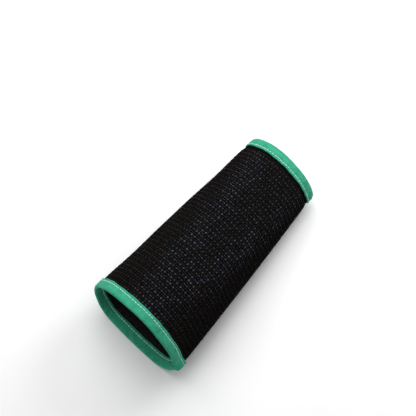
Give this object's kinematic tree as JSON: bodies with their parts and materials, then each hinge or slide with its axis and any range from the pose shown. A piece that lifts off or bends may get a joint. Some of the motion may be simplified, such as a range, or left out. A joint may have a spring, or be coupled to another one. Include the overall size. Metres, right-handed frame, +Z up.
{
  "type": "cut resistant sleeve",
  "caption": "Tapered tube of thick black fabric worn over the forearm against cuts, open at both ends, with a stitched green tape bound over each edge.",
  "frame": {"origin": "under the middle of the sleeve's box, on the surface that it lies on", "axes": "+X along the sleeve from the elbow end to the wrist end, +Y towards the folded edge of the cloth, +Z up"},
  "size_m": [0.321, 0.155, 0.1224],
  "materials": {
    "black_cloth": "matte knit with small shiny crowns",
    "green_tape": "matte woven tape"
  },
  "bodies": {
    "root": {"sleeve_body": "black_cloth", "elbow_binding": "green_tape", "wrist_binding": "green_tape"}
  },
  "joints": []
}
